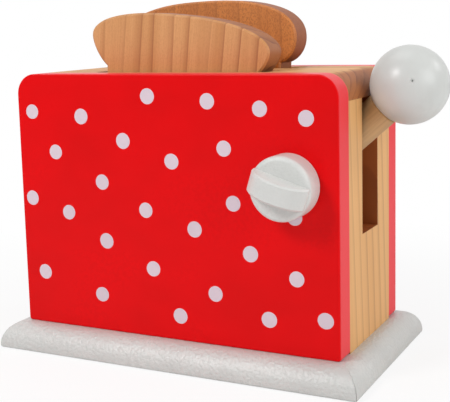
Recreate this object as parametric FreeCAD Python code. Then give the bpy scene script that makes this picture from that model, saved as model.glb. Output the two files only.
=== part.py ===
import FreeCAD, Part
import math
import os

from FreeCAD import Placement, Rotation, Vector

# Toy toaster of flat boards, in millimetres.
# +X points to the lever end, -Y to the front with the dial, +Z up.
# The origin is the centre of the base board's underside.

# Body box
body_width = 165.0
body_depth = 81.0
body_height = 123.0
board_thickness = 12.0
corner_round = 10.0
panel_foot_round = 1.5
panel_edge_ease = 0.8

# Base board
base_overhang = 10.75
base_thickness = 12.5
base_edge_inset = 4.8
base_edge_drop = 11.0
base_edge_tight = 3.0
base_corner_round = 2.0
base_foot_ease = 1.0

# Slots in the top board, and the slices that stand in them
slot_width = 16.0
slot_edge_distance = 3.5
slot_left_reach = 46.3
slot_right_reach = 43.1
slot_corner_round = 2.0
slot_edge_ease = 0.5
toast_thickness = 14.5
toast_foot_half = 33.5
toast_foot_round = 3.0
toast_edge_ease = 0.9

# Right half of each slice's outline, from its neck up to its brow, as seen from the ears' level
front_contour = [(37.5, -15.6), (46.1, -4.6), (46.6, 0.0), (42.7, 4.5), (34.7, 8.0)]
front_crown_rise = 11.6
rear_contour = [(40.5, -17.7), (49.0, -6.2), (47.8, 0.0), (44.8, 3.9), (33.2, 10.0)]
rear_crown_rise = 13.8

# Where the two slices lean at rest: middle of the ears, and the lean to the right
front_toast_x = -1.9
front_toast_ear_height = 137.6
front_toast_lean = 6.4
rear_toast_x = -5.8
rear_toast_ear_height = 141.9
rear_toast_lean = -1.7

# Lever: a round rod through the slot of the right end board
lever_slot_width = 22.0
lever_slot_floor = 50.1
lever_tilt = 41.0
rod_radius = 8.0
rod_top_gap = 0.25
rod_end_ease = 0.8
pivot_inset = 39.0
ball_radius = 17.5
ball_outset = 18.3
pit_radius = 0.9
pit_depth = 1.4
pit_direction = (0.35, -0.93, -0.09)
tenon_radius = 5.0
tenon_length = 13.0
lift_bar_radius = 6.0
lift_bar_seat = 5.0
lift_arm = 46.0
rod_tail = 9.0
bar_end_play = 0.6
bar_screw_bite = 3.6
counterbore_depth = 3.0

# Pivot pin across the body, with a spacer each side of the rod
pin_radius = 3.0
pin_bore_clearance = 0.08
pin_blind_depth = 8.0
spacer_radius = 5.0
spacer_bore_clearance = 0.15
side_play = 0.2

# Carrier that the slices stand on, guided at each end between two strips glued inside the panel
carrier_x = -0.5
carrier_length = 20.0
carrier_thickness = 6.0
carrier_lift_gap = 0.3
carrier_edge_round = 1.0
toast_rest_gap = 0.03
guide_width = 8.0
guide_thickness = 3.5
guide_play = 0.35
stop_height = 9.0
stop_play = 0.3
lever_swing = 44.0

# Dial on the front panel: a disc with a half-moon grip across its face
dial_x = 59.85
dial_height = 75.65
dial_radius = 14.1
dial_disc_thickness = 11.4
dial_rim_round = 2.2
dial_panel_gap = 0.4
grip_half_length = 13.3
grip_end_rise = 1.35
grip_rise = 10.0
grip_half_width = 5.1
grip_draft = 0.5
grip_edge_ease = 0.8
grip_turn = 17.5
axle_radius = 5.0
axle_clearance = 0.08
axle_socket = 8.0
axle_pilot = 14.0
washer_radius = 9.0
washer_thickness = 1.5
washer_gap = 0.3

# Dowels and screws
dowel_radius = 3.0
dowel_in_panel = 8.0
dowel_in_end = 14.0
dowel_end_gap = 1.0
screw_radius = 2.0
screw_head_radius = 4.0
screw_head_height = 3.0
screw_length = 34.0
screw_clearance = 0.25
small_screw_radius = 1.6
small_screw_head_radius = 3.6
small_screw_head_height = 2.2
small_screw_crown_radius = 2.5
screw_end_gap = 1.0

# Derived places
core_depth = body_depth - 2 * board_thickness
half_width = body_width / 2
half_depth = body_depth / 2
half_core = core_depth / 2
floor_z = base_thickness
top_z = base_thickness + body_height
underside_z = top_z - board_thickness
end_inner_x = half_width - board_thickness
panel_middle_y = half_depth - board_thickness / 2
end_middle_x = half_width - board_thickness / 2
slot_middle_y = half_core - slot_edge_distance - slot_width / 2
slot_floor_z = floor_z + lever_slot_floor

tilt = math.radians(lever_tilt)
rod_exit_z = underside_z - rod_top_gap - rod_radius / math.cos(tilt)
pivot_x = half_width - pivot_inset
pivot_z = rod_exit_z - pivot_inset * math.tan(tilt)
ball_reach = (pivot_inset + ball_outset) / math.cos(tilt)
shoulder_reach = ball_reach - math.sqrt(ball_radius ** 2 - rod_radius ** 2)
bar_offset = rod_radius + lift_bar_radius - lift_bar_seat
bar_reach = math.sqrt(lift_arm ** 2 - bar_offset ** 2)
bar_angle = tilt - math.asin(bar_offset / lift_arm)
bar_rest_z = pivot_z - lift_arm * math.sin(bar_angle)
carrier_z = bar_rest_z + lift_bar_radius + carrier_lift_gap
bar_end_angle = bar_angle - math.radians(lever_swing)
carrier_rise = lift_arm * (math.sin(bar_angle) - math.sin(bar_end_angle))
stop_z = carrier_z + carrier_thickness + carrier_rise + stop_play
dial_z = floor_z + dial_height

# Dowel and screw positions
dowel_heights = (floor_z + 22.0, floor_z + 84.0)
top_dowel_y = 19.75
panel_screw_x = 50.0


def box(x0, x1, y0, y1, z0, z1):
    """Block between two opposite corners."""
    return Part.makeBox(x1 - x0, y1 - y0, z1 - z0, Vector(x0, y0, z0))


def peg(start, direction, radius, length):
    """Cylinder from a start point along a direction."""
    return Part.makeCylinder(radius, length, start, direction)


def turned(points, start, direction):
    """Solid of revolution from (radius, distance) points, laid along a direction."""
    wire = Part.makePolygon([Vector(r, 0, z) for r, z in points + points[:1]])
    solid = Part.Face(wire).revolve(Vector(0, 0, 0), Vector(0, 0, 1), 360)
    solid.Placement = Placement(start, Rotation(Vector(0, 0, 1), direction))
    return solid


def edges_on_plane(shape, axis, value):
    """Edges that lie wholly at one value of x (0), y (1) or z (2)."""
    found = []
    for edge in shape.Edges:
        points = edge.discretize(5)
        if all(abs(point[axis] - value) < 1e-4 for point in points):
            found.append(edge)
    return found


def edges_along(shape, axis, z0, z1):
    """Straight edges parallel to one axis (0, 1 or 2) with their middle between two heights."""
    found = []
    for edge in shape.Edges:
        direction = edge.tangentAt(edge.FirstParameter)
        if abs(direction[axis]) > 0.999 and z0 - 0.001 < edge.CenterOfMass.z < z1 + 0.001:
            found.append(edge)
    return found


def rounded_along(shape, axis, z0, z1, radius):
    """Rounds the edges that run along one axis and lie between two heights."""
    return shape.makeFillet(radius, edges_along(shape, axis, z0, z1))


def mirrored_front_to_back(shape):
    """The same piece on the other side of the lever's plane."""
    return shape.mirror(Vector(0, 0, 0), Vector(0, 1, 0))


def base_screw_places():
    """Screws up through the base: two in each panel, one in each end board."""
    panel = [(side_x * panel_screw_x, side_y * panel_middle_y)
             for side_x in (-1, 1) for side_y in (-1, 1)]
    ends = [(side_x * end_middle_x, 0.0) for side_x in (-1, 1)]
    return panel + ends


def on_arc(middle, radius, angle, side):
    """Point of an arc in the base's section, mirrored for its left edge."""
    x = middle[0] + radius * math.cos(angle)
    return Vector(side * x, 0, middle[1] + radius * math.sin(angle))


def thumbnail_edge(reach, side):
    """Edge of the base's section: a tight curve at the top that runs into a slow one."""
    rise = base_edge_drop - base_edge_tight
    slow = (base_edge_inset ** 2 + base_edge_drop ** 2 - 2 * base_edge_drop * base_edge_tight)
    slow = slow / (2 * (base_edge_inset - base_edge_tight))
    tight_middle = (reach - base_edge_inset, base_thickness - base_edge_tight)
    slow_middle = (reach - slow, base_thickness - base_edge_drop)
    lean = math.atan2(rise, slow - base_edge_inset)
    top = on_arc(tight_middle, base_edge_tight, math.pi / 2, side)
    bend = on_arc(tight_middle, base_edge_tight, (lean + math.pi / 2) / 2, side)
    join = on_arc(tight_middle, base_edge_tight, lean, side)
    fall = on_arc(slow_middle, slow, lean / 2, side)
    brink = on_arc(slow_middle, slow, 0, side)
    foot = Vector(side * reach, 0, 0)
    curves = [Part.Arc(top, bend, join).toShape(), Part.Arc(join, fall, brink).toShape()]
    return curves + [Part.makeLine(brink, foot)], top, foot


def base_section(reach, length):
    """Board in the base's section: flat top, edges falling in a flat thumbnail."""
    right, right_top, right_foot = thumbnail_edge(reach, 1)
    left, left_top, left_foot = thumbnail_edge(reach, -1)
    outline = right + [Part.makeLine(right_foot, left_foot)] + left[::-1]
    section = Part.Face(Part.Wire(outline + [Part.makeLine(left_top, right_top)]))
    section.translate(Vector(0, -length, 0))
    board = section.extrude(Vector(0, 2 * length, 0))
    return rounded_along(board, 1, 0, base_foot_ease, base_foot_ease)


def base_board():
    """Wide board with the same edge worked on its four sides, so that they meet in mitres."""
    x = half_width + base_overhang
    y = half_depth + base_overhang
    ends = base_section(x, y)
    sides = base_section(y, x)
    sides.rotate(Vector(0, 0, 0), Vector(0, 0, 1), 90)
    blank = box(-x, x, -y, y, 0, base_thickness)
    plan = rounded_along(blank, 2, 0, base_thickness, base_corner_round)
    board = sides.common(ends).common(plan)
    up = Vector(0, 0, 1)
    for x, y in base_screw_places():
        board = board.cut(peg(Vector(x, y, 0), up, screw_radius + screw_clearance, base_thickness))
        sink = turned([(0, 0), (screw_head_radius, 0), (screw_radius, screw_head_height),
                       (0, screw_head_height)], Vector(x, y, 0), up)
        board = board.cut(sink)
    return board


def panel_blank():
    """Front board with rounded top corners and eased outer edges."""
    board = box(-half_width, half_width, -half_depth, -half_core, floor_z, top_z)
    board = rounded_along(board, 1, underside_z, top_z, corner_round)
    board = rounded_along(board, 1, floor_z, floor_z + 1, panel_foot_round)
    return board.makeFillet(panel_edge_ease, edges_on_plane(board, 1, -half_depth))


def panel_with_sockets():
    """Panel with the pin hole, dowel holes and screw holes on its inner side."""
    board = panel_blank()
    inward = Vector(0, -1, 0)
    board = board.cut(peg(Vector(pivot_x, -half_core, pivot_z), inward, pin_radius,
                          pin_blind_depth))
    for x in (-end_middle_x, end_middle_x):
        for z in dowel_heights:
            board = board.cut(peg(Vector(x, -half_core, z), inward, dowel_radius,
                                  dowel_in_panel + dowel_end_gap))
    for x in (-panel_screw_x, panel_screw_x):
        board = board.cut(peg(Vector(x, -panel_middle_y, floor_z), Vector(0, 0, 1),
                              screw_radius, screw_length - base_thickness))
    return board


def front_panel():
    """Front panel, with the bore that the dial's axle turns in."""
    bore = peg(Vector(dial_x, -half_depth, dial_z), Vector(0, 1, 0),
               axle_radius + axle_clearance, board_thickness)
    return panel_with_sockets().cut(bore)


def rear_panel():
    """Rear panel, the front one's mirror image without the dial's bore."""
    return mirrored_front_to_back(panel_with_sockets())


def end_board():
    """Right end board between the panels, without its slot."""
    board = box(end_inner_x, half_width, -half_core, half_core, floor_z, underside_z)
    for side in (-1, 1):
        for z in dowel_heights:
            start = Vector(end_middle_x, side * half_core, z)
            board = board.cut(peg(start, Vector(0, -side, 0), dowel_radius,
                                  dowel_in_end + dowel_end_gap))
        board = board.cut(peg(Vector(end_middle_x, side * top_dowel_y, underside_z),
                              Vector(0, 0, -1), dowel_radius, dowel_in_end + dowel_end_gap))
    return board.cut(peg(Vector(end_middle_x, 0, floor_z), Vector(0, 0, 1),
                         screw_radius, screw_length - base_thickness))


def left_end_board():
    """Plain end board on the left."""
    return end_board().mirror(Vector(0, 0, 0), Vector(1, 0, 0))


def right_end_board():
    """End board with the lever's slot, open at its top and closed there by the top board."""
    half = lever_slot_width / 2
    slot = box(end_inner_x, half_width, -half, half, slot_floor_z, underside_z)
    return end_board().cut(slot)


def toast_slot(middle_y):
    """Cutter for one slot through the top board, with small corner rounds."""
    half = slot_width / 2
    cutter = box(-slot_left_reach, slot_right_reach, middle_y - half, middle_y + half,
                 underside_z, top_z)
    return rounded_along(cutter, 2, underside_z, top_z, slot_corner_round)


def top_board():
    """Top board between the panels, rounded at both ends, with the two slots."""
    board = box(-half_width, half_width, -half_core, half_core, underside_z, top_z)
    board = rounded_along(board, 1, top_z - 1, top_z, corner_round)
    for middle_y in (-slot_middle_y, slot_middle_y):
        board = board.cut(toast_slot(middle_y))
    rims = []
    for edge in edges_on_plane(board, 2, top_z):
        middle = edge.CenterOfMass
        inside_x = -slot_left_reach - 1 < middle.x < slot_right_reach + 1
        inside_y = abs(middle.y) < half_core - 1
        if inside_x and inside_y:
            rims.append(edge)
    board = board.makeChamfer(slot_edge_ease, rims)
    for x in (-end_middle_x, end_middle_x):
        for y in (-top_dowel_y, top_dowel_y):
            board = board.cut(peg(Vector(x, y, underside_z), Vector(0, 0, 1),
                                  dowel_radius, dowel_in_panel + dowel_end_gap / 2))
    return board


def base_screws():
    """Countersunk screws that hold the base to the boards above it."""
    profile = [(0, 0), (screw_head_radius, 0), (screw_radius, screw_head_height),
               (screw_radius, screw_length), (0, screw_length)]
    screws = [turned(profile, Vector(x, y, 0), Vector(0, 0, 1)) for x, y in base_screw_places()]
    return Part.makeCompound(screws)


def front_dowels():
    """Dowels from the front panel into the end boards."""
    dowels = []
    for x in (-end_middle_x, end_middle_x):
        for z in dowel_heights:
            dowels.append(peg(Vector(x, -half_core - dowel_in_panel, z), Vector(0, 1, 0),
                              dowel_radius, dowel_in_panel + dowel_in_end))
    return Part.makeCompound(dowels)


def rear_dowels():
    """Dowels from the rear panel into the end boards."""
    return mirrored_front_to_back(front_dowels())


def top_dowels():
    """Dowels from the end boards up into the top board."""
    dowels = []
    for x in (-end_middle_x, end_middle_x):
        for y in (-top_dowel_y, top_dowel_y):
            dowels.append(peg(Vector(x, y, underside_z - dowel_in_end), Vector(0, 0, 1),
                              dowel_radius, dowel_in_end + dowel_in_panel))
    return Part.makeCompound(dowels)


def pivot_pin():
    """Pin that the lever swings on, held in a blind hole of each panel."""
    reach = half_core + pin_blind_depth - side_play
    return peg(Vector(pivot_x, -reach, pivot_z), Vector(0, 1, 0), pin_radius, 2 * reach)


def pivot_spacer_front():
    """Sleeve on the pin that keeps the rod in the middle of its slot."""
    start = Vector(pivot_x, -half_core + side_play, pivot_z)
    length = half_core - rod_radius - 2 * side_play
    along = Vector(0, 1, 0)
    sleeve = peg(start, along, spacer_radius, length)
    return sleeve.cut(peg(start, along, pin_radius + spacer_bore_clearance, length))


def pivot_spacer_rear():
    """The second sleeve, behind the rod."""
    return mirrored_front_to_back(pivot_spacer_front())


def on_lever(shape):
    """Places a shape drawn along X from the pivot onto the tilted lever."""
    turn = Rotation(Vector(0, 1, 0), -lever_tilt)
    shape.Placement = Placement(Vector(pivot_x, 0, pivot_z), turn).multiply(shape.Placement)
    return shape


def lever_rod():
    """Rod with a shouldered tenon for the ball, a pivot bore and a saddle for the bar."""
    tail = -bar_reach - rod_tail
    ease = rod_end_ease
    rod = turned([(0, 0), (rod_radius - ease, 0), (rod_radius, ease),
                  (rod_radius, shoulder_reach - tail - ease),
                  (rod_radius - ease, shoulder_reach - tail),
                  (tenon_radius, shoulder_reach - tail),
                  (tenon_radius, shoulder_reach - tail + tenon_length),
                  (0, shoulder_reach - tail + tenon_length)],
                 Vector(tail, 0, 0), Vector(1, 0, 0))
    across = Vector(0, 1, 0)
    bore = peg(Vector(0, -rod_radius, 0), across, pin_radius + pin_bore_clearance, 2 * rod_radius)
    saddle = peg(Vector(-bar_reach, -rod_radius, bar_offset), across, lift_bar_radius,
                 2 * rod_radius)
    upward = Vector(0, 0, 1)
    counterbore = peg(Vector(-bar_reach, 0, -rod_radius), upward,
                      small_screw_head_radius + screw_clearance, counterbore_depth)
    pilot = peg(Vector(-bar_reach, 0, -rod_radius), upward, small_screw_radius, 2 * rod_radius)
    return on_lever(rod.cut(bore).cut(saddle).cut(counterbore).cut(pilot))


def lever_ball():
    """Turned ball with a spot face, a socket for the rod's tenon and the lathe's centre pit."""
    centre = Vector(ball_reach, 0, 0)
    ball = Part.makeSphere(ball_radius, centre, Vector(0, 0, 1))
    flat = box(0, shoulder_reach, -ball_radius, ball_radius, -ball_radius, ball_radius)
    socket = peg(Vector(shoulder_reach, 0, 0), Vector(1, 0, 0), tenon_radius, tenon_length + 0.5)
    outward = Vector(*pit_direction).normalize()
    pit = turned([(0, 0), (pit_radius, pit_depth), (0, pit_depth)],
                 centre + outward * (ball_radius - pit_depth), outward)
    return on_lever(ball.cut(flat).cut(socket).cut(pit))


def lift_bar():
    """Cross bar in the rod's saddle, which lifts the carrier."""
    reach = half_core - bar_end_play
    bar = peg(Vector(-bar_reach, -reach, bar_offset), Vector(0, 1, 0), lift_bar_radius, 2 * reach)
    pilot = peg(Vector(-bar_reach, 0, 0), Vector(0, 0, 1), small_screw_radius,
                bar_offset + bar_screw_bite)
    return on_lever(bar.cut(pilot))


def small_screw(start, length, direction):
    """Small screw with a domed head, from the top of its head along a direction."""
    return turned([(0, 0), (small_screw_crown_radius, 0),
                   (small_screw_head_radius, small_screw_head_height),
                   (small_screw_radius, small_screw_head_height),
                   (small_screw_radius, length), (0, length)], start, direction)


def lift_bar_screw():
    """Screw from under the rod into the bar."""
    start = Vector(-bar_reach, 0, counterbore_depth - rod_radius - small_screw_head_height)
    length = bar_offset + bar_screw_bite - screw_end_gap - start.z
    return on_lever(small_screw(start, length, Vector(0, 0, 1)))


def toast_carrier():
    """Narrow board across the body that both slices stand on."""
    reach = half_core - guide_play
    half = carrier_length / 2
    board = box(carrier_x - half, carrier_x + half, -reach, reach,
                carrier_z, carrier_z + carrier_thickness)
    top = carrier_z + carrier_thickness
    return rounded_along(board, 1, top - 1, top, carrier_edge_round)


def guide_strip(side):
    """Strip inside the front panel, to the left (-1) or right (1) of the carrier's end."""
    near = carrier_x + side * (carrier_length / 2 + guide_play)
    far = near + side * guide_width
    return box(min(near, far), max(near, far), -half_core, -half_core + guide_thickness,
               floor_z, underside_z)


def front_guide_left():
    """Guide strip in front, to the left of the carrier."""
    return guide_strip(-1)


def front_guide_right():
    """Guide strip in front, to the right of the carrier."""
    return guide_strip(1)


def rear_guide_left():
    """Guide strip at the rear, to the left of the carrier."""
    return mirrored_front_to_back(guide_strip(-1))


def rear_guide_right():
    """Guide strip at the rear, to the right of the carrier."""
    return mirrored_front_to_back(guide_strip(1))


def front_stop():
    """Block between the front guide strips that stops the carrier at its highest place."""
    reach = carrier_length / 2 + guide_play
    return box(carrier_x - reach, carrier_x + reach, -half_core, -half_core + guide_thickness,
               stop_z, stop_z + stop_height)


def rear_stop():
    """The same block at the rear."""
    return mirrored_front_to_back(front_stop())


def foot_drop(x, ear_height, lean):
    """Length of a leaning slice from its ears down to the carrier's nearer rounded edge."""
    side = math.copysign(carrier_length / 2 - carrier_edge_round, lean)
    right = carrier_x + side - x
    down = carrier_z + carrier_thickness - carrier_edge_round - floor_z - ear_height
    angle = math.radians(lean)
    edge_centre = right * math.sin(angle) + down * math.cos(angle)
    return -edge_centre - carrier_edge_round - toast_rest_gap


def toast_slice(right_side, crown_rise, drop):
    """Slice of bread cut from board, with the middle of its ears at the origin."""
    left_side = [(-x, z) for x, z in reversed(right_side)]
    contour = [Vector(x, 0, z) for x, z in right_side + [(0.0, crown_rise)] + left_side]
    crown = Part.BSplineCurve()
    crown.interpolate(contour)
    foot_right = Vector(toast_foot_half, 0, -drop)
    foot_left = Vector(-toast_foot_half, 0, -drop)
    neck_right = contour[0]
    neck_left = contour[-1]
    outline = Part.Wire([crown.toShape(),
                         Part.LineSegment(neck_left, foot_left).toShape(),
                         Part.LineSegment(foot_left, foot_right).toShape(),
                         Part.LineSegment(foot_right, neck_right).toShape()])
    slab = Part.Face(outline).extrude(Vector(0, toast_thickness, 0))
    slab.translate(Vector(0, -toast_thickness / 2, 0))
    slab = rounded_along(slab, 1, -drop, 1 - drop, toast_foot_round)
    rims = edges_on_plane(slab, 1, -toast_thickness / 2)
    rims += edges_on_plane(slab, 1, toast_thickness / 2)
    return slab.makeChamfer(toast_edge_ease, rims)


def leaning(toast, x, y, ear_height, lean):
    """Puts a slice in its slot: a lean above zero is to the right."""
    toast.Placement = Placement(Vector(x, y, floor_z + ear_height),
                                Rotation(Vector(0, 1, 0), lean))
    return toast


def toast_front():
    """Front slice, leaning to the right."""
    drop = foot_drop(front_toast_x, front_toast_ear_height, front_toast_lean)
    toast = toast_slice(front_contour, front_crown_rise, drop)
    return leaning(toast, front_toast_x, -slot_middle_y, front_toast_ear_height,
                   front_toast_lean)


def toast_rear():
    """Rear slice, leaning a little to the left."""
    drop = foot_drop(rear_toast_x, rear_toast_ear_height, rear_toast_lean)
    toast = toast_slice(rear_contour, rear_crown_rise, drop)
    return leaning(toast, rear_toast_x, slot_middle_y, rear_toast_ear_height, rear_toast_lean)


def on_dial(shape):
    """Places a shape drawn round Z, with Z pointing away from the panel, onto the turned dial."""
    place = Placement(Vector(dial_x, -half_depth - dial_panel_gap, dial_z),
                      Rotation(Vector(1, 0, 0), 90))
    shape.Placement = place.multiply(shape.Placement)
    shape.rotate(Vector(dial_x, 0, dial_z), Vector(0, 1, 0), grip_turn)
    return shape


def dial_knob():
    """Turned disc of the dial, with a rounded rim and a socket for the axle."""
    disc = Part.makeCylinder(dial_radius, dial_disc_thickness)
    disc = disc.makeFillet(dial_rim_round, edges_on_plane(disc, 2, dial_disc_thickness))
    return on_dial(disc.cut(Part.makeCylinder(axle_radius, axle_socket)))


def half_moon():
    """Side outline of the grip: straight foot, low ends and one arc over the top."""
    end = grip_half_length
    foot_left = Vector(-end, 0, 0)
    foot_right = Vector(end, 0, 0)
    low_left = Vector(-end, 0, grip_end_rise)
    low_right = Vector(end, 0, grip_end_rise)
    arc = Part.Arc(low_right, Vector(0, 0, grip_rise), low_left).toShape()
    outline = Part.Wire([Part.makeLine(foot_left, foot_right), Part.makeLine(foot_right, low_right),
                         arc, Part.makeLine(low_left, foot_left)])
    return Part.Face(outline)


def dial_grip():
    """Half-moon fin glued across the disc, a little narrower at its top than at its foot."""
    wide = grip_half_width
    narrow = grip_half_width - grip_draft
    end = grip_half_length
    fin = half_moon().extrude(Vector(0, 2 * wide, 0))
    fin.translate(Vector(0, -wide, 0))
    section = Part.makePolygon([Vector(-end, -wide, 0), Vector(-end, wide, 0),
                                Vector(-end, narrow, grip_rise), Vector(-end, -narrow, grip_rise),
                                Vector(-end, -wide, 0)])
    fin = fin.common(Part.Face(section).extrude(Vector(2 * end, 0, 0)))
    rims = [edge for edge in fin.Edges if edge.Length > 2 * wide and edge.CenterOfMass.z > 1]
    fin = fin.makeChamfer(grip_edge_ease, rims)
    fin.translate(Vector(0, 0, dial_disc_thickness))
    return on_dial(fin)


def dial_axle():
    """Dowel glued in the knob, which turns in the front panel."""
    start_y = -half_depth - dial_panel_gap - axle_socket
    length = -half_core + washer_gap - start_y
    axle = peg(Vector(dial_x, start_y, dial_z), Vector(0, 1, 0), axle_radius, length)
    pilot = peg(Vector(dial_x, start_y + length, dial_z), Vector(0, -1, 0),
                small_screw_radius, axle_pilot)
    return axle.cut(pilot)


def dial_washer():
    """Washer inside the front panel that keeps the dial on."""
    start = Vector(dial_x, -half_core + washer_gap, dial_z)
    along = Vector(0, 1, 0)
    disc = peg(start, along, washer_radius, washer_thickness)
    return disc.cut(peg(start, along, small_screw_radius, washer_thickness))


def dial_screw():
    """Round-headed screw through the washer into the axle."""
    start = Vector(dial_x, -half_core + washer_gap + washer_thickness + small_screw_head_height,
                   dial_z)
    length = small_screw_head_height + washer_thickness + axle_pilot - screw_end_gap
    return small_screw(start, length, Vector(0, -1, 0))


PIECES = {
    "base_board": base_board,
    "front_panel": front_panel,
    "rear_panel": rear_panel,
    "left_end_board": left_end_board,
    "right_end_board": right_end_board,
    "top_board": top_board,
    "base_screws": base_screws,
    "front_dowels": front_dowels,
    "rear_dowels": rear_dowels,
    "top_dowels": top_dowels,
    "pivot_pin": pivot_pin,
    "pivot_spacer_front": pivot_spacer_front,
    "pivot_spacer_rear": pivot_spacer_rear,
    "lever_rod": lever_rod,
    "lever_ball": lever_ball,
    "lift_bar": lift_bar,
    "lift_bar_screw": lift_bar_screw,
    "toast_carrier": toast_carrier,
    "front_guide_left": front_guide_left,
    "front_guide_right": front_guide_right,
    "rear_guide_left": rear_guide_left,
    "rear_guide_right": rear_guide_right,
    "front_stop": front_stop,
    "rear_stop": rear_stop,
    "toast_front": toast_front,
    "toast_rear": toast_rear,
    "dial_knob": dial_knob,
    "dial_grip": dial_grip,
    "dial_axle": dial_axle,
    "dial_washer": dial_washer,
    "dial_screw": dial_screw,
}

os.makedirs("parts", exist_ok=True)
for name, make in PIECES.items():
    make().exportStep("parts/" + name + ".step")
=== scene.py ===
import math
import random

import bmesh
import bpy
from mathutils import Matrix, Vector


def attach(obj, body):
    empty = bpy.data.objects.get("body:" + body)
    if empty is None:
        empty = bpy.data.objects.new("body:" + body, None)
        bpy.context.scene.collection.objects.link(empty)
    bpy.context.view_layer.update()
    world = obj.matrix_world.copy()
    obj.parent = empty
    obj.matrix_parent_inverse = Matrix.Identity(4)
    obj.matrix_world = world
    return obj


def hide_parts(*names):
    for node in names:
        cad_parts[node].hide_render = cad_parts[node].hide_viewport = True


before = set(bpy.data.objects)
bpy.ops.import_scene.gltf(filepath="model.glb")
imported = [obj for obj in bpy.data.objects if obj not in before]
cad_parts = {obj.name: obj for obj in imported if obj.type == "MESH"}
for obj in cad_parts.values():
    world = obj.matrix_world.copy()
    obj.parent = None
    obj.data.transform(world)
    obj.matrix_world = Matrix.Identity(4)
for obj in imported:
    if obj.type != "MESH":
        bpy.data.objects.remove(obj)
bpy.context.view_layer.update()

MM = 0.001

# Body of the toaster, as in the part, in millimetres
HALF_WIDTH = 82.5
HALF_DEPTH = 40.5
FLOOR_Z = 12.5
BOARD = 12.0
LEVER_TILT = 41.0
PAST_INNER_FACE = HALF_DEPTH - BOARD + 0.1

# Base board: its edge falls from the flat top to the foot in one round. Folds sharper than
# SHARP_FOLD degrees are shaded as edges.
BASE_HALF_LENGTH = 93.25
BASE_HALF_DEPTH = 51.25
BASE_EDGE_INSET = 10.2
BASE_EDGE_DROP = 11.3
BASE_FOOT_EASE = 1.2
BASE_CORNER_EASE = 0.55
BASE_CORNERS = [(1, 1), (-1, 1), (-1, -1), (1, -1)]
CRACKED_CORNER = (1, -1)
MITRE_CRACK = 0.5
CORNER_STEPS = 4
EDGE_STEPS = 16
FOOT_STEPS = 5
SHARP_FOLD = 20

# The base's countersunk screw holes: where they are, and radius and height of their rings
SCREW_PLACES = [(-50, -34.5), (-50, 34.5), (50, -34.5), (50, 34.5), (-76.5, 0), (76.5, 0)]
SCREW_SINK = [(4.0, 0.0), (2.25, 2.65), (2.25, FLOOR_Z)]
SCREW_SIDES = 32

# Printed dots: middle of each, along the panel and above its foot
DOTS = [(73.3, 113.0), (103.8, 111.1), (129.1, 108.2), (8.4, 104.9), (150.4, 104.5),
        (36.7, 103.1), (59.5, 92.2), (111.5, 90.4), (21.2, 85.7), (84.9, 83.6),
        (47.1, 72.3), (115.5, 66.1), (6.0, 62.5), (70.5, 60.3), (27.3, 56.6),
        (95.8, 53.1), (48.3, 44.1), (123.4, 44.0), (145.2, 34.7), (73.5, 32.8),
        (11.5, 25.8), (105.6, 24.1), (44.5, 17.6), (158.3, 17.6), (131.9, 15.1),
        (87.1, 11.7), (144.6, 61.8)]
DOT_RADIUS = 3.62
DOT_SPREAD = (0.97, 1.03)
DOT_STRETCH = 0.02
DOT_SIDES = 32
DOT_SEED = 7
INK_FOOT = 0.005
INK_TOP = 0.05
INK_BEVEL = 0.12

# Wood patterns: sizes across the grain and along it, and depths, in millimetres. Real fibres
# are about 0.05 wide and pores 0.1, so both are drawn several times coarser to show at all.
DRIFT_SIZE = (14.0, 160.0)
YEARS_LENGTH = 500.0
BAND_SIZE = (9.0, 400.0)
FIBRE_LENGTH = 22.0
PORE_SIZE = (0.5, 0.8)
FIBRE_DEPTH = 0.12

# Good and poor years take turns every so many rings; a wave texture's rings at scale 1 are
# WAVE_GAP apart. Sanded wood under thin lacquer is nearly matt.
YEARS_ACROSS = 1.7
WAVE_GAP = math.pi / 10
FIBRE_RELIEF = 0.25
WOOD_ROUGHNESS = 0.55
LACQUER_IOR = 1.5

# Paint patterns, in millimetres too: clouds of dull and clear paint, the grain that swells
# under it, and its own orange-peel skin
CLOUD_SIZE = (26.0, 40.0)
GRAIN_SIZE = (1.1, 40.0)
GRAIN_DEPTH = 0.2
GRAIN_RELIEF = 0.1
SKIN_DEPTH = 0.35
PAINT_IOR = 1.5

# Zinc plating: the size of its spangles in millimetres
SPANGLE_SIZE = (0.8, 0.8)

# The camera that the photograph was taken with, as fitted to the toy's edges
CAMERA_PLACE = (219.3, -419.7, 157.1)
CAMERA_YAW = 27.01
CAMERA_PITCH = 8.33
CAMERA_ROLL = -1.49
FOCAL_PIXELS = 975.2
MIDDLE_PIXELS = (218.0, 166.7)
PICTURE = (450.0, 402.0)
SENSOR = 36.0

# The studio, in metres and watts: floor, surroundings, and for each softbox its direction from
# the toy, distance, size and power
FLOOR_REACH = 3.0
FLOOR_DROP = 0.0002
FLOOR_FADE = {"From Min": 0.11, "From Max": 0.32, "To Min": 0.84}
AROUND_LIGHT = 0.32
LIT_POINT = (0.02, 0, 0.08)
SOFTBOXES = {
    "key_softbox": ((-0.354, -0.692, 0.63), 0.9, 0.22, 3.5),
    "top_softbox": ((-0.25, 0.1, 0.95), 1.1, 0.7, 2.3),
    "back_softbox": ((0.70, 0.453, 0.548), 1.1, 0.30, 1.5),
    "side_softbox": ((0.90, -0.25, 0.36), 1.2, 0.7, 5.2),
}


# Colours and nodes

def colour(code):
    """An sRGB hex colour as linear red, green, blue and alpha."""
    parts = [int(code[i:i + 2], 16) / 255 for i in (1, 3, 5)]
    return [c / 12.92 if c <= 0.04045 else ((c + 0.055) / 1.055) ** 2.4 for c in parts] + [1.0]


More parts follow.
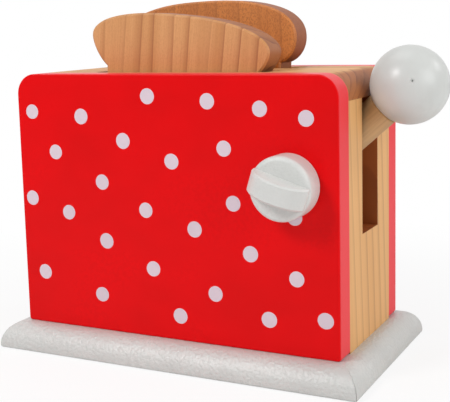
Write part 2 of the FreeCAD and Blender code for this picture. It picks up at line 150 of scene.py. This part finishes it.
def add(tree, kind, settings=(), links=()):
    """Adds one node with its settings and with what feeds it: a node's first output or a socket.

    The setting stops holds the positions and grey levels of a ramp.
    """
    node = tree.nodes.new("ShaderNode" + kind)
    for name, value in dict(settings).items():
        if name == "stops":
            for _ in value[2:]:
                node.color_ramp.elements.new(1.0)
            for element, (place, level) in zip(node.color_ramp.elements, value):
                element.position = place
                element.color = (level, level, level, 1.0)
        elif isinstance(name, int) or name in node.inputs:
            node.inputs[name].default_value = value
        else:
            setattr(node, name, value)
    for name, source in dict(links).items():
        tree.links.new(getattr(source, "outputs", [source])[0], node.inputs[name])
    return node


def new_material(name):
    """An empty material and its tree."""
    material = bpy.data.materials.new(name)
    material.use_nodes = True
    material.node_tree.nodes.clear()
    return material, material.node_tree


def log_space(tree, pith, turned):
    """Coordinates round the log's pith, in millimetres and degrees, with Z along the grain."""
    here = add(tree, "TexCoord").outputs["Object"]
    place = [c * MM for c in pith]
    turns = [math.radians(a) for a in turned]
    return add(tree, "Mapping", {"vector_type": "TEXTURE", "Location": place, "Rotation": turns},
               {"Vector": here})


def flecks(tree, space, size, detail=2.0):
    """Uneven grey patches of a real size in millimetres, across the grain and along it."""
    across, along = (1 / (length * MM) for length in size)
    scaled = add(tree, "Mapping", {"Scale": (across, across, along)}, {"Vector": space})
    return add(tree, "TexNoise", {"Scale": 1.0, "Detail": detail}, {"Vector": scaled})


def laid_over(tree, under, over, pattern, stops):
    """One colour soaked into or laid over another where a grey pattern says so."""
    settings = {"data_type": "RGBA", 7: colour(over)}
    links = {0: add(tree, "ValToRGB", {"stops": stops}, {0: pattern})}
    if isinstance(under, str):
        settings[6] = colour(under)
    else:
        links[6] = under
    return add(tree, "Mix", settings, links).outputs[2]


def facing(tree, axis):
    """How squarely the surface faces along one axis of the piece, from 0 to 1."""
    normal = add(tree, "TexCoord").outputs["Normal"]
    parts = add(tree, "SeparateXYZ", (), {0: normal})
    return add(tree, "Math", {"operation": "ABSOLUTE"}, {0: parts.outputs[axis]})


def inner_side(tree):
    """One on the side of a panel that faces the lever's works, nought elsewhere."""
    here = add(tree, "TexCoord").outputs["Object"]
    depth = add(tree, "SeparateXYZ", (), {0: here}).outputs[1]
    off_middle = add(tree, "Math", {"operation": "ABSOLUTE"}, {0: depth})
    return add(tree, "Math", {"operation": "LESS_THAN", 1: PAST_INNER_FACE * MM}, {0: off_middle})


# Wood

def ring_lines(tree, space, ring, late, wander):
    """Grey lines of the growth rings, which drift and differ in strength from year to year.

    Each ring darkens slowly into its late wood, which ends at once.
    """
    drift = flecks(tree, space, DRIFT_SIZE, 1.0)
    shifted = add(tree, "VectorMath", {"operation": "MULTIPLY_ADD", 1: [wander * MM] * 3},
                  {0: drift.outputs["Color"], 2: space})
    rings = add(tree, "TexWave", {"wave_type": "RINGS", "rings_direction": "Z",
                                  "wave_profile": "SAW", "Scale": WAVE_GAP / (ring * MM)},
                {"Vector": shifted})
    stops = ((0.0, 0.0), (0.6, 0.1), (0.86, late * 0.6), (0.94, late), (0.98, late), (1.0, 0.0))
    line = add(tree, "ValToRGB", {"stops": stops}, {0: rings.outputs[1]})
    years = flecks(tree, space, (ring * YEARS_ACROSS, YEARS_LENGTH), 1.0)
    strength = add(tree, "ValToRGB", {"stops": ((0.35, 0.4), (0.6, 1.0))}, {0: years})
    return add(tree, "Math", {"operation": "MULTIPLY"}, {0: line, 1: strength})


def timber(name, wood, pith, turned, ring, late, cut=None, fibre=0.5, wander=1.5, streak=0.35,
           speck=0.0):
    """Sanded wood cut from a log: growth rings round the pith, broad bands, fibres and pores.

    wood holds the hex colours of early wood, late wood, darker bands and fibres. pith and
    turned place the log, ring is the rings' distance and late how dark they end. fibre is a
    fibre's width, wander how far rings stray, streak and speck how strongly fibres and pores
    show. cut darkens faces by how squarely they face an axis: on the top board it is the end
    grain that soaked up more lacquer, on the toasts the edges stained as a crust, and on the
    end boards painted shade in the lever slot. It holds an axis, stops over how squarely faces
    face it and their colour.
    """
    early_wood, late_wood, band_wood, fibre_wood = wood
    material, tree = new_material(name)
    space = log_space(tree, pith, turned)
    lines = ring_lines(tree, space, ring, late, wander)
    bands = flecks(tree, space, BAND_SIZE)
    fibres = flecks(tree, space, (fibre, FIBRE_LENGTH), 3.0)
    pores = flecks(tree, space, PORE_SIZE)
    ground = laid_over(tree, early_wood, band_wood, bands, ((0.4, 0.0), (0.62, 0.8)))
    ringed = add(tree, "Mix", {"data_type": "RGBA", 7: colour(late_wood)}, {0: lines, 6: ground})
    fibred = laid_over(tree, ringed.outputs[2], fibre_wood, fibres, ((0.42, 0.0), (0.72, streak)))
    face = laid_over(tree, fibred, late_wood, pores, ((0.45, 0.0), (0.65, speck)))
    # On the end boards this darkening is painted shade for the dim lever slot; on the top board
    # and the toasts it is the sawn grain's own tone.
    if cut:
        axis, stops, sawn_tone_and_shade = cut
        where = add(tree, "ValToRGB", {"stops": stops}, {0: facing(tree, axis)})
        face = add(tree, "Mix", {"data_type": "RGBA", "blend_type": "MULTIPLY",
                                 7: colour(sawn_tone_and_shade)}, {0: where, 6: face}).outputs[2]
    relief = add(tree, "Bump", {"Strength": FIBRE_RELIEF, "Distance": FIBRE_DEPTH * MM,
                                "invert": True}, {"Height": fibres})
    shader = add(tree, "BsdfPrincipled", {"Roughness": WOOD_ROUGHNESS, "IOR": LACQUER_IOR},
                 {"Base Color": face, "Normal": relief})
    add(tree, "OutputMaterial", (), {"Surface": shader})
    return material


# Paint

def satin_paint(name, paint, dull, roughness, gloss, rough, peel=1.6, grain=(0, 0, 0),
                mottle=0.3, edge=None, bare=None):
    """Paint over sanded wood: nearly even, with the faintest grain showing through.

    paint and dull are its colour and that of its duller spots, gloss its specular level, rough
    how strong its orange-peel skin is, peel how wide, and mottle how dull its spots get. grain
    turns the wood under it. edge paints a reflection on the edges: a paler colour painted on
    faces turned away from an axis, as a painted sheen of the white surroundings; it holds the
    axis, stops over how squarely faces face it and the paler colour. bare is the colour of the
    unpainted inner face.
    """
    material, tree = new_material(name)
    space = log_space(tree, (0, 0, 0), grain)
    cloud = flecks(tree, space, CLOUD_SIZE)
    skin = flecks(tree, space, (peel, peel), 4.0)
    lines = flecks(tree, space, GRAIN_SIZE)
    spots = add(tree, "ValToRGB", {"stops": ((0.42, 0.0), (0.6, mottle))}, {0: skin})
    clouds = add(tree, "ValToRGB", {"stops": ((0.35, 0.0), (0.7, 0.7))}, {0: cloud})
    most = add(tree, "Math", {"operation": "MAXIMUM"}, {0: spots, 1: clouds})
    shade = add(tree, "Mix", {"data_type": "RGBA", 6: colour(paint), 7: colour(dull)},
                {0: most}).outputs[2]
    # Painted reflection: faces turned away from the axis get a paler colour that stands in for
    # the sheen of the white surroundings on the edges.
    if edge:
        axis, stops, sheen_colour = edge
        shade = laid_over(tree, shade, sheen_colour, facing(tree, axis), stops)
    if bare:
        shade = add(tree, "Mix", {"data_type": "RGBA", 7: colour(bare)},
                    {0: inner_side(tree), 6: shade}).outputs[2]
    bumpy = add(tree, "Bump", {"Strength": rough, "Distance": SKIN_DEPTH * MM}, {"Height": skin})
    relief = add(tree, "Bump", {"Strength": GRAIN_RELIEF, "Distance": GRAIN_DEPTH * MM},
                 {"Height": lines, "Normal": bumpy})
    shader = add(tree, "BsdfPrincipled",
                 {"Roughness": roughness, "IOR": PAINT_IOR, "Specular IOR Level": gloss},
                 {"Base Color": shade, "Normal": relief})
    add(tree, "OutputMaterial", (), {"Surface": shader})
    return material


# Steel

def zinc_steel():
    """Zinc-plated steel: bright grey with faint mottling."""
    material, tree = new_material("zinc_plated_steel")
    spangles = flecks(tree, log_space(tree, (0, 0, 0), (0, 0, 0)), SPANGLE_SIZE, 3.0)
    tone = add(tree, "Mix", {"data_type": "RGBA", 6: colour("#C9CBCC"), 7: colour("#A3A6A8")},
               {0: spangles})
    dullness = add(tree, "ValToRGB", {"stops": ((0.3, 0.28), (0.7, 0.42))}, {0: spangles})
    shader = add(tree, "BsdfPrincipled", {"Metallic": 1.0},
                 {"Base Color": tone.outputs[2], "Roughness": dullness})
    add(tree, "OutputMaterial", (), {"Surface": shader})
    return material


# Which faces get the edge's painted sheen, or a cut's darker colour (the sawn grain's own tone,
# and painted shade in the lever slot): those away from the axis, or those that face it
AWAY = ((0.45, 1.0), (0.75, 0.0))
TOWARDS = ((0.12, 0.0), (0.45, 1.0))

# Red satin paint sprayed on sanded boards: one strong even red with a faint sheen, a paler
# red painted on the side and top edges as a painted reflection, and bare wood on the inner faces
RED = satin_paint("red_satin_paint", "#E60007", "#D60205", roughness=0.36, gloss=0.12,
                  rough=0.12, grain=(0, 90, 0), edge=(1, AWAY, "#EC3D44"), bare="#DDB07A")

# Thick white paint brushed on the base: a cloudy white whose rough skin breaks up the light
BASE_WHITE = satin_paint("white_base_paint", "#D0D1CE", "#C1C2BF", roughness=0.34, gloss=0.9,
                         rough=1.5, peel=1.4, mottle=0.6)

# White paint sprayed on the turned disc and sawn grip: cleaner, with a fine matt skin
DIAL_WHITE = satin_paint("white_dial_paint", "#D9DAD7", "#CCCDCA", roughness=0.38, gloss=0.5,
                         rough=0.6, peel=1.0, mottle=0.5)

# White gloss paint dipped on a turned bead: smooth, with small soft highlights
BALL_WHITE = satin_paint("white_gloss_paint", "#D1D3D0", "#C7C8C5", roughness=0.34, gloss=0.5,
                         rough=0.12, peel=3.0)

# White ink printed on the red: matt, and a little pink because the red shows through
DOT_WHITE = satin_paint("printed_white_ink", "#DECDD7", "#D4C2CD", roughness=0.5, gloss=0.2,
                        rough=0.1)

# Sanded pine under clear lacquer: honey ground with thin brown lines, a few millimetres
# apart, that run up the end boards and along the top board; the top board's sawn end grain is
# darker
PINE = ("#E4AF72", "#B57E4B", "#DCA567", "#C8955B")
# On the end boards, faces turned away from the x axis, mostly the lever slot's walls, are
# darkened as painted shade for the slot's dim inside.
END_PINE = timber("pine_grain_upright", PINE, pith=(60, -170, 0), turned=(4.5, 0, 0), ring=8.6,
                  late=0.9, cut=(0, AWAY, "#B98052"), streak=0.3)
TOP_PINE = timber("pine_grain_lengthwise", ("#E8B478", "#A56E3E", "#DCA468", "#C8945C"),
                  pith=(0, 25, 60), turned=(0, 90, 0), ring=4.2, late=1.0,
                  cut=(0, TOWARDS, "#C0977A"), streak=0.5)

# Planed pine strips inside the body: the same ground with closer, fainter lines
STRIP_PINE = timber("pine_strip", PINE, pith=(30, 90, 0), turned=(0, 0, 0), ring=3.0, late=0.6)

# Beech dowel stock, turned and sanded: pale and close grained, with short fine fibres
BEECH = timber("beech_rod_stock", ("#E3C59B", "#C99F6C", "#DAB685", "#BF905F"),
               pith=(9, 30, 0), turned=(0, 0, 90), ring=2.6, late=0.25, fibre=0.7)

# The lever's beech rod, lacquered: the same wood a shade browner
LEVER_BEECH = timber("beech_lever_rod", ("#D2A876", "#BE8E5A", "#C49A68", "#A87C50"),
                     pith=(43.5, 22, 78.7), turned=(0, 90 - LEVER_TILT, 0), ring=2.8,
                     late=0.25, fibre=0.7)

# Birch plywood, sanded: pale and nearly even, with faint wide bands
BIRCH = timber("birch_plywood", ("#E0C79C", "#C9A878", "#D6BB8E", "#BFA073"),
               pith=(0, 60, 0), turned=(90, 0, 0), ring=2.0, late=0.3)

# Pine stained a light toast brown: wide soft bands that end in a brown line, on faces that
# stay warm, with greyer sawn edges for a crust
LIGHT_TOAST = timber("toasted_pine_light", ("#D79D65", "#9E6034", "#C68A51", "#B67A48"),
                     pith=(-154, 40, 0), turned=(0, 6.4, 0), ring=8.4, late=0.85,
                     cut=(1, AWAY, "#C4AB9F"), wander=13.0, streak=0.3, speck=0.15)

# Pine stained darker: few lines, and open pores full of stain that speckle the face
DARK_TOAST = timber("toasted_pine_dark", ("#D98A44", "#A25E2D", "#C77938", "#9E5825"),
                    pith=(-170, 60, 0), turned=(0, -1.7, 0), ring=11.0, late=0.5,
                    cut=(1, AWAY, "#BDAAA6"), wander=8.0, streak=0.2, speck=0.6)

# Zinc-plated steel of the screws and the washer: dull bright grey, faintly mottled
STEEL = zinc_steel()

FINISHES = {
    "base_board": BASE_WHITE, "front_panel": RED, "rear_panel": RED,
    "left_end_board": END_PINE, "right_end_board": END_PINE, "top_board": TOP_PINE,
    "base_screws": STEEL, "front_dowels": BEECH, "rear_dowels": BEECH, "top_dowels": BEECH,
    "pivot_pin": BEECH, "pivot_spacer_front": BEECH, "pivot_spacer_rear": BEECH,
    "lever_rod": LEVER_BEECH, "lever_ball": BALL_WHITE, "lift_bar": BEECH,
    "lift_bar_screw": STEEL, "toast_carrier": BIRCH, "toast_front": LIGHT_TOAST,
    "toast_rear": DARK_TOAST, "dial_knob": DIAL_WHITE, "dial_grip": DIAL_WHITE,
    "dial_axle": BEECH, "dial_washer": STEEL, "dial_screw": STEEL,
    "front_guide_left": STRIP_PINE, "front_guide_right": STRIP_PINE,
    "rear_guide_left": STRIP_PINE, "rear_guide_right": STRIP_PINE,
    "front_stop": STRIP_PINE, "rear_stop": STRIP_PINE,
}


def paint_frame():
    """Gives every piece of the frame its finish."""
    for name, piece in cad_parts.items():
        for slot in piece.material_slots:
            slot.material = FINISHES[name]


# Mesh pieces

def ring_of(mesh, points):
    """One closed ring of new points, given in millimetres."""
    return [mesh.verts.new([c * MM for c in point]) for point in points]


def strip(mesh, first, second):
    """Faces all round between two closed rings of as many points."""
    for step in range(len(first)):
        after = (step + 1) % len(first)
        mesh.faces.new([first[step], first[after], second[after], second[step]])


def plate(mesh, rings):
    """Flat face inside the first closed ring and outside the others."""
    edges = []
    for ring in rings:
        for step, point in enumerate(ring):
            pair = (point, ring[(step + 1) % len(ring)])
            edges.append(mesh.edges.get(pair) or mesh.edges.new(pair))
    bmesh.ops.triangle_fill(mesh, use_beauty=True, edges=edges)


def piece_from(mesh, name, material, body):
    """A new piece from a finished mesh, with its material, riding on its body."""
    bmesh.ops.recalc_face_normals(mesh, faces=mesh.faces)
    data = bpy.data.meshes.new(name)
    mesh.to_mesh(data)
    mesh.free()
    data.materials.append(material)
    piece = bpy.data.objects.new(name, data)
    bpy.context.scene.collection.objects.link(piece)
    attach(piece, body)
    return piece


# Dots

def dot_outline(middle, radius, y, stretch, lean):
    """Points round one dot, which isn't quite a circle."""
    points = []
    for step in range(DOT_SIDES):
        angle = 2 * math.pi * step / DOT_SIDES
        reach = radius * (1 + stretch * math.cos(2 * angle + lean))
        points.append((middle[0] + reach * math.cos(angle), y,
                       middle[1] + reach * math.sin(angle)))
    return points


def printed_dots(name, side):
    """Thin printed dots on the front (-1) or rear (1) panel."""
    chance = random.Random(DOT_SEED)
    mesh = bmesh.new()
    low, high = (side * (HALF_DEPTH + lift) for lift in (INK_FOOT, INK_TOP))
    for along, height in DOTS:
        middle = (along - HALF_WIDTH, height + FLOOR_Z)
        shape = (chance.uniform(0, DOT_STRETCH), chance.uniform(0, 2 * math.pi))
        radius = DOT_RADIUS * chance.uniform(*DOT_SPREAD)
        foot = ring_of(mesh, dot_outline(middle, radius, low, *shape))
        top = ring_of(mesh, dot_outline(middle, radius - INK_BEVEL, high, *shape))
        strip(mesh, foot, top)
        mesh.faces.new(top)
        mesh.faces.new(foot)
    piece_from(mesh, name, DOT_WHITE, "casing")


# Base

def base_outline(inset, height):
    """Points round the base at one height, with its four mitred corners barely eased.

    The paint has cracked open along the mitre at the front right.
    """
    x = BASE_HALF_LENGTH - inset - BASE_CORNER_EASE
    y = BASE_HALF_DEPTH - inset - BASE_CORNER_EASE
    points = []
    for quarter, corner in enumerate(BASE_CORNERS):
        for step in range(CORNER_STEPS + 1):
            turn = math.pi / 2 * (quarter + step / CORNER_STEPS)
            cracked = corner == CRACKED_CORNER and step == CORNER_STEPS / 2
            reach = BASE_CORNER_EASE - (MITRE_CRACK if cracked else 0)
            points.append((corner[0] * x + reach * math.cos(turn),
                           corner[1] * y + reach * math.sin(turn), height))
    return points


def base_edge():
    """Inset and height of the lines round the base, from its flat top down to its foot."""
    lines = []
    for step in range(EDGE_STEPS + 1):
        turn = math.pi / 2 * step / EDGE_STEPS
        lines.append((BASE_EDGE_INSET * (1 - math.sin(turn)),
                      FLOOR_Z - BASE_EDGE_DROP * (1 - math.cos(turn))))
    for step in range(1, FOOT_STEPS + 1):
        turn = math.pi / 2 * step / FOOT_STEPS
        lines.append((BASE_FOOT_EASE * (1 - math.cos(turn)),
                      BASE_FOOT_EASE * (1 - math.sin(turn))))
    return lines


def screw_sink(mesh, x, y):
    """Countersunk hole through the base; gives its rings at the underside and the top."""
    rings = []
    turns = [2 * math.pi * step / SCREW_SIDES for step in range(SCREW_SIDES)]
    for radius, height in SCREW_SINK:
        rings.append(ring_of(mesh, [(x + radius * math.cos(turn), y + radius * math.sin(turn),
                                     height) for turn in turns]))
    for lower, upper in zip(rings, rings[1:]):
        strip(mesh, lower, upper)
    return rings[0], rings[-1]


def rounded_base():
    """The base board with its rounded edge, mitred corners and countersunk screw holes."""
    mesh = bmesh.new()
    rings = [ring_of(mesh, base_outline(inset, height)) for inset, height in base_edge()]
    for upper, lower in zip(rings, rings[1:]):
        strip(mesh, upper, lower)
    holes = [screw_sink(mesh, x, y) for x, y in SCREW_PLACES]
    plate(mesh, [rings[0]] + [top for _, top in holes])
    plate(mesh, [rings[-1]] + [under for under, _ in holes])
    base = piece_from(mesh, "rounded_base", BASE_WHITE, "casing")
    base.data.shade_smooth()
    base.data.set_sharp_from_angle(angle=math.radians(SHARP_FOLD))
    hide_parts("base_board")


# Stage

def floor_material():
    """White floor that fades into the white background away from the toy."""
    material, tree = new_material("white_floor")
    place = add(tree, "NewGeometry").outputs["Position"]
    flat = add(tree, "VectorMath", {"operation": "MULTIPLY", 1: (1, 1, 0)}, {0: place})
    away = add(tree, "VectorMath", {"operation": "LENGTH"}, {0: flat})
    fade = add(tree, "MapRange", FLOOR_FADE, {"Value": away.outputs["Value"]})
    seen = add(tree, "LightPath").outputs["Is Camera Ray"]
    factor = add(tree, "Math", {"operation": "MULTIPLY"}, {0: fade, 1: seen})
    matt = add(tree, "BsdfDiffuse", {"Color": colour("#F8F8F8")})
    white = add(tree, "Emission", {"Color": (1, 1, 1, 1), "Strength": 1.0})
    mixed = add(tree, "MixShader", (), {0: factor, 1: matt, 2: white})
    add(tree, "OutputMaterial", (), {"Surface": mixed})
    return material


def make_floor():
    """A wide flat floor just under the base."""
    data = bpy.data.meshes.new("floor")
    corners = [(x * FLOOR_REACH, y * FLOOR_REACH, 0) for x, y in BASE_CORNERS]
    data.from_pydata(corners, [], [(0, 1, 2, 3)])
    data.materials.append(floor_material())
    floor = bpy.data.objects.new("floor", data)
    floor.location.z = -FLOOR_DROP
    bpy.context.scene.collection.objects.link(floor)


def make_world():
    """Even white surroundings: full white where they are seen, weaker as a light."""
    world = bpy.data.worlds.new("studio")
    world.use_nodes = True
    tree = world.node_tree
    tree.nodes.clear()
    path = add(tree, "LightPath")
    seen = add(tree, "Math", {"operation": "MAXIMUM"},
               {0: path.outputs["Is Camera Ray"], 1: path.outputs["Is Glossy Ray"]})
    shown = add(tree, "Math", {"operation": "MAXIMUM"},
                {0: seen, 1: path.outputs["Is Transmission Ray"]})
    light = add(tree, "Background", {"Color": (1, 1, 1, 1), "Strength": AROUND_LIGHT})
    white = add(tree, "Background", {"Color": (1, 1, 1, 1), "Strength": 1.0})
    mixed = add(tree, "MixShader", (), {0: shown, 1: light, 2: white})
    add(tree, "OutputWorld", (), {"Surface": mixed})
    bpy.context.scene.world = world


def softbox(name, direction, distance, size, power):
    """A square soft light that faces the toy from a direction."""
    data = bpy.data.lights.new(name, "AREA")
    data.shape = "SQUARE"
    data.size = size
    data.energy = power
    lamp = bpy.data.objects.new(name, data)
    toward = Vector(direction).normalized()
    lamp.location = Vector(LIT_POINT) + toward * distance
    lamp.rotation_euler = toward.to_track_quat("Z", "Y").to_euler()
    bpy.context.scene.collection.objects.link(lamp)


def make_camera():
    """The camera at the photograph's place, turned, tipped and rolled as it was."""
    yaw, pitch, roll = (math.radians(a) for a in (CAMERA_YAW, CAMERA_PITCH, CAMERA_ROLL))
    ahead = Vector((-math.sin(yaw) * math.cos(pitch), math.cos(yaw) * math.cos(pitch),
                    -math.sin(pitch)))
    level = Vector((math.cos(yaw), math.sin(yaw), 0))
    upright = level.cross(ahead)
    right = math.cos(roll) * level + math.sin(roll) * upright
    up = math.cos(roll) * upright - math.sin(roll) * level
    data = bpy.data.cameras.new("camera")
    data.sensor_width = SENSOR
    data.lens = FOCAL_PIXELS / PICTURE[0] * SENSOR
    data.shift_x = (PICTURE[0] / 2 - MIDDLE_PIXELS[0]) / PICTURE[0]
    data.shift_y = (MIDDLE_PIXELS[1] - PICTURE[1] / 2) / PICTURE[0]
    camera = bpy.data.objects.new("camera", data)
    turn = Matrix((right, up, -ahead)).transposed().to_4x4()
    camera.matrix_world = Matrix.Translation(Vector(CAMERA_PLACE) * MM) @ turn
    bpy.context.scene.collection.objects.link(camera)
    bpy.context.scene.camera = camera


def make_studio():
    """Floor, surroundings, four softboxes and the camera."""
    make_floor()
    make_world()
    for name, (direction, distance, size, power) in SOFTBOXES.items():
        softbox(name, direction, distance, size, power)
    make_camera()
    bpy.context.scene.view_settings.view_transform = "Standard"


paint_frame()
printed_dots("front_dots", -1)
printed_dots("rear_dots", 1)
rounded_base()
make_studio()
